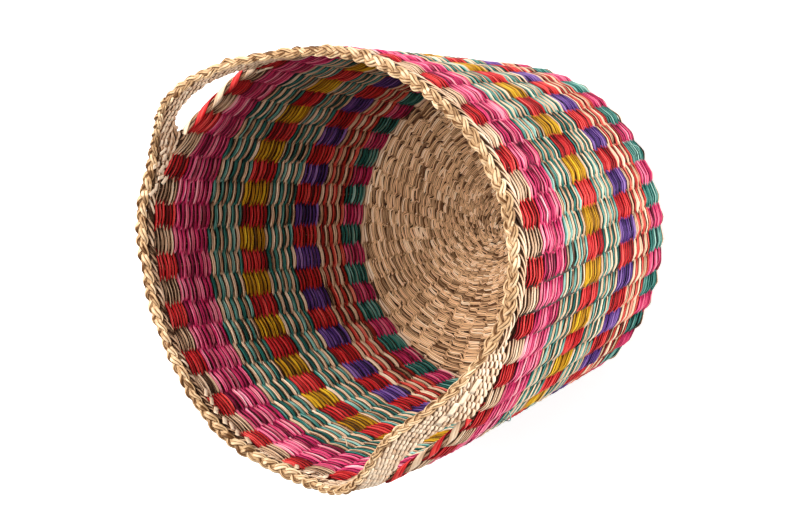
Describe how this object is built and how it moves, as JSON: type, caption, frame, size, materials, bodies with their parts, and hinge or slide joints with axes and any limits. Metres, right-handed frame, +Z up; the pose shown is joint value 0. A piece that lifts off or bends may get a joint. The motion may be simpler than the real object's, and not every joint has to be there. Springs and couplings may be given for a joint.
{
  "type": "woven storage basket",
  "caption": "Round storage basket woven of dyed straw over upright stakes, with a plaited rim and a pair of raised woven hand loops with finger holes.",
  "frame": {"origin": "on the basket's axis at the surface it stands on; the rim is slightly out of round, so the box around it is centred there to within 3 mm", "axes": "+Z up along the basket's axis; the hand loops stand on the X axis, the upright one on +X and the one that leans inward on -X"},
  "size_m": [0.3848, 0.3804, 0.4017],
  "materials": {
    "natural": "matt, slightly glossy straw",
    "straw": "matt, slightly glossy straw",
    "tan": "matt, slightly glossy straw",
    "red": "matt, slightly glossy straw",
    "salmon": "matt, slightly glossy straw",
    "pink": "matt, slightly glossy straw",
    "rose": "matt, slightly glossy straw",
    "teal": "matt, slightly glossy straw",
    "yellow": "matt, slightly glossy straw",
    "purple": "matt, slightly glossy straw"
  },
  "bodies": {
    "root": {"base_edge_row": "natural", "base_weave_inside": "tan", "base_weave_outside": "tan", "hole_rope_far": "salmon", "hole_rope_near": "salmon", "loop_panel_far": "natural", "loop_panel_near": "natural", "rim_plait": "straw", "stake_frame": "natural", "tucked_border_back": "natural", "tucked_border_front": "natural", "weft_a1_red": "red", "weft_a2_natural": "natural", "weft_b1_pink": "pink", "weft_b2_rose": "rose", "weft_b3_pink": "pink", "weft_c1_teal": "teal", "weft_c2_natural": "natural", "weft_c3_teal": "teal", "weft_d1_red": "red", "weft_d2_yellow": "yellow", "weft_e1_teal": "teal", "weft_e2_natural": "natural", "weft_e3_teal": "teal", "weft_f1_red": "red", "weft_f2_purple": "purple", "weft_g1_salmon": "salmon", "weft_g2_natural": "natural", "weft_g3_salmon": "salmon", "weft_h1_pink": "pink", "weft_h2_teal": "teal"}
  },
  "joints": []
}
